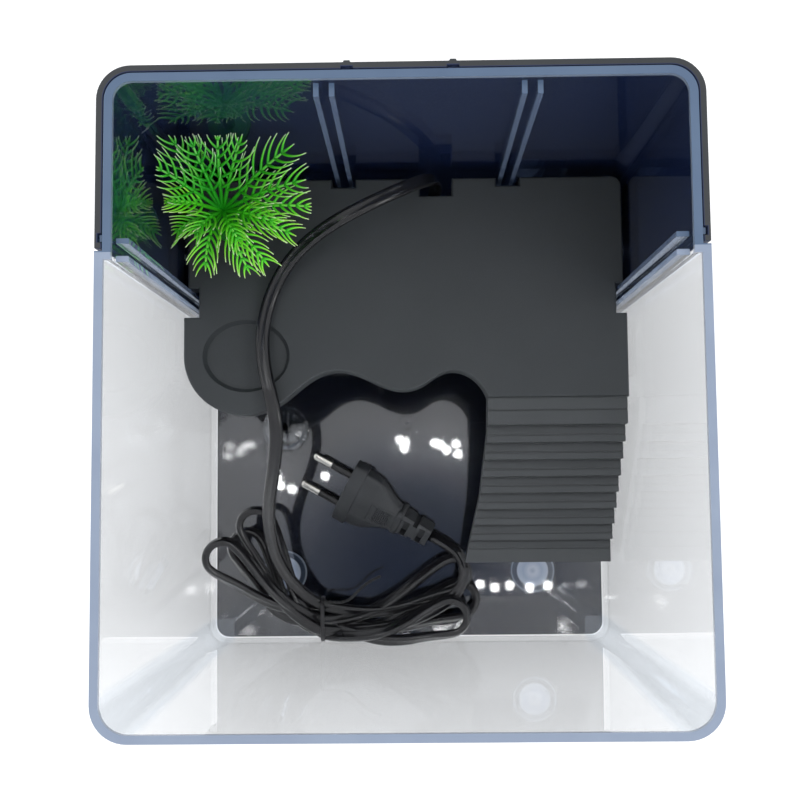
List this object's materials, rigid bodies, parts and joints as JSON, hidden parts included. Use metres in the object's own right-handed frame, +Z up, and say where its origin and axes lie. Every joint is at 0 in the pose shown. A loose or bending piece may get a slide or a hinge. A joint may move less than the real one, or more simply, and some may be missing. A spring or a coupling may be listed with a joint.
{
  "type": "submersible aquarium heater kit",
  "caption": "Small clear turtle and fish tank with a basking deck, ramp, plastic plant and a submersible heater below the deck on a coiled mains lead.",
  "frame": {"origin": "middle of the tank's outline, at the level of its feet", "axes": "+Z up, -Y the front of the tank, +X to the right seen from the front"},
  "size_m": [0.19, 0.2088, 0.183],
  "materials": {
    "shell_black": "matte",
    "clear_plastic": "clear gloss",
    "deck_grey": "fine grain, satin",
    "heater_glass": "clear gloss",
    "heater_black": "satin",
    "soft_rubber": "matte",
    "ceramic_white": "matte ceramic",
    "element_wire": "drawn wire",
    "board_green": "satin laminate",
    "brass_parts": "plain",
    "lamp_glass": "clear gloss",
    "dial_grey": "satin",
    "clear_vinyl": "soft gloss",
    "cord_black": "gloss",
    "plug_grey": "matte",
    "pin_nickel": "nickel plated",
    "sleeve_black": "gloss",
    "plant_green": "soft gloss"
  },
  "bodies": {
    "cradle": {"back_shell": "shell_black", "base_tray": "shell_black", "clear_feet": "clear_plastic"},
    "tub": {"tub": "clear_plastic"},
    "platform": {"deck": "deck_grey", "ramp": "deck_grey", "support_saddles": "deck_grey", "support_posts": "deck_grey", "glass_tube": "heater_glass", "heater_guard": "heater_black", "end_bumper": "soft_rubber", "ceramic_former": "ceramic_white", "heating_element": "element_wire", "element_leads": "element_wire", "circuit_board": "board_green", "bimetal_strip": "brass_parts", "contact_posts": "brass_parts", "indicator_lamp": "lamp_glass", "tube_seal": "soft_rubber", "heater_head": "heater_black", "gland_nut": "heater_black", "strain_relief": "soft_rubber", "scale_ring": "dial_grey", "cup_bar": "clear_plastic", "suction_cups": "clear_vinyl", "lead_cord": "cord_black", "cord_hank": "cord_black", "twist_tie": "cord_black", "tail_cord": "cord_black", "plug_relief": "plug_grey", "plug_body": "plug_grey", "plug_pins": "pin_nickel", "pin_sleeves": "sleeve_black"},
    "dial": {"temperature_dial": "dial_grey", "dial_spindle": "brass_parts"},
    "plant": {"plant_base": "plant_green", "plant_stem": "plant_green", "plant_fronds": "plant_green"}
  },
  "joints": [
    {"name": "tub_lift", "type": "slide", "parent": "cradle", "child": "tub", "axis": [0, 0, 1], "range_m": [0, 0.185]},
    {"name": "platform_lift", "type": "slide", "parent": "tub", "child": "platform", "axis": [0, 0, 1], "range_m": [0, 0.19]},
    {"name": "dial_turn", "type": "hinge", "parent": "platform", "child": "dial", "pos_m": [0.02, 0.038, 0.03], "axis": [1, 0, 0], "range_deg": [-135, 135]},
    {"name": "plant_lift", "type": "slide", "parent": "platform", "child": "plant", "axis": [0, 0, 1], "range_m": [0, 0.11]}
  ]
}
